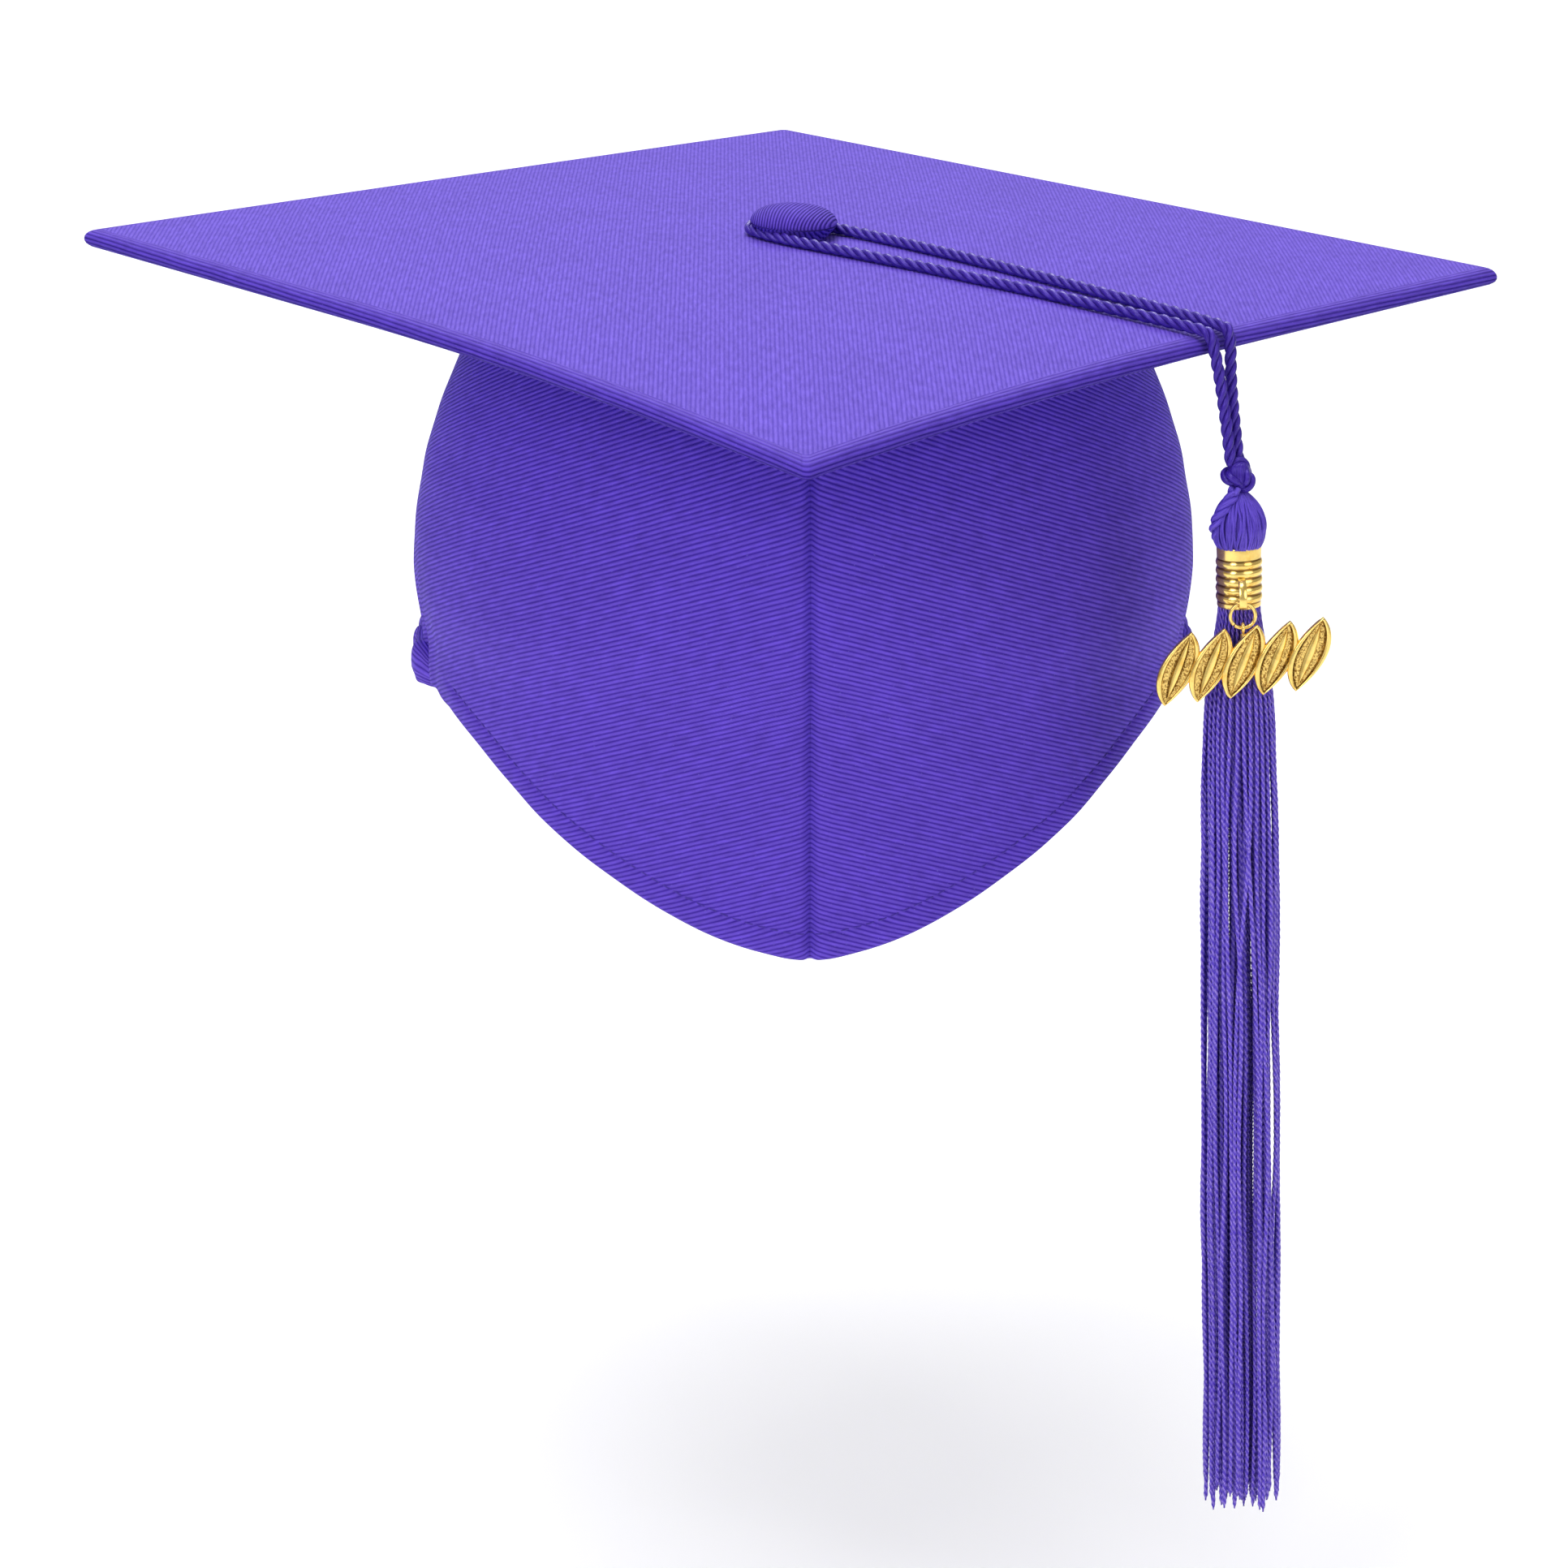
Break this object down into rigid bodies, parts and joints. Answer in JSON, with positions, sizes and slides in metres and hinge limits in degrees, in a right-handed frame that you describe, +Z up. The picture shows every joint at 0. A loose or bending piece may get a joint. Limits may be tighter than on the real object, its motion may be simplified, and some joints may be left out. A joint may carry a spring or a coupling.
{
  "type": "graduation cap",
  "caption": "Mortarboard graduation cap: square fabric board on a soft elasticated skull cap, with a covered button and a hanging tassel.",
  "frame": {"origin": "middle of the head opening, at the height of the side and back hem", "axes": "+Z up through the crown, -Y towards the front point, +X towards the tassel's side"},
  "size_m": [0.3382, 0.3382, 0.2969],
  "materials": {
    "twill": "matte",
    "board_card": "matte",
    "interfacing": "matte",
    "thread": "satin",
    "elastic": "matte",
    "steel": "satin",
    "tassel_cord": "satin",
    "gold_metal": "gloss"
  },
  "bodies": {
    "cap": {"board_core": "board_card", "board_top_cover": "twill", "board_under_cover": "twill", "button_cover": "twill", "button_shell": "steel", "button_back_plate": "steel", "button_shank": "steel", "button_washer": "steel", "skull_panel_left": "twill", "skull_panel_right": "twill", "front_stiffener_left": "interfacing", "front_stiffener_right": "interfacing", "hem_facing_left": "twill", "hem_facing_right": "twill", "front_seam_allowance": "twill", "back_seam_allowance": "twill", "crown_flange": "twill", "hem_stitches": "thread", "elastic_casing": "twill", "elastic_band": "elastic"},
    "tassel_loop": {"tassel_loop_cord": "tassel_cord"},
    "hanging_cord": {"hanging_cord_front": "tassel_cord", "hanging_cord_back": "tassel_cord", "tassel_knot": "tassel_cord"},
    "tassel": {"tassel_head": "tassel_cord", "ferrule": "gold_metal", "fringe_inner_strands": "tassel_cord", "fringe_middle_strands": "tassel_cord", "fringe_outer_strands": "tassel_cord"},
    "jump_ring": {"jump_ring": "gold_metal"},
    "charm": {"charm": "gold_metal"}
  },
  "joints": [
    {"name": "loop_turn", "type": "hinge", "parent": "cap", "child": "tassel_loop", "pos_m": [-0.0025, 0, 0.105], "axis": [0.0305, 0, 0.9995], "range_deg": [-9, 1]},
    {"name": "tassel_lift", "type": "hinge", "parent": "tassel_loop", "child": "hanging_cord", "pos_m": [0.09082, -0.07819, 0.09949], "axis": [-0.7071, -0.7071, 0], "range_deg": [-5, 70]},
    {"name": "tassel_sway", "type": "hinge", "parent": "hanging_cord", "child": "tassel", "pos_m": [0.09572, -0.08309, 0.06791], "axis": [0.7071, -0.7071, 0], "range_deg": [-25, 25]},
    {"name": "ring_swing", "type": "hinge", "parent": "tassel", "child": "jump_ring", "pos_m": [0.09667, -0.09104, 0.04039], "axis": [-0.9994, -0.0006, -0.0345], "range_deg": [0, 60]},
    {"name": "charm_swing", "type": "hinge", "parent": "jump_ring", "child": "charm", "pos_m": [0.09687, -0.09123, 0.03479], "axis": [-0.9994, -0.0006, -0.0345], "range_deg": [0, 40]}
  ]
}
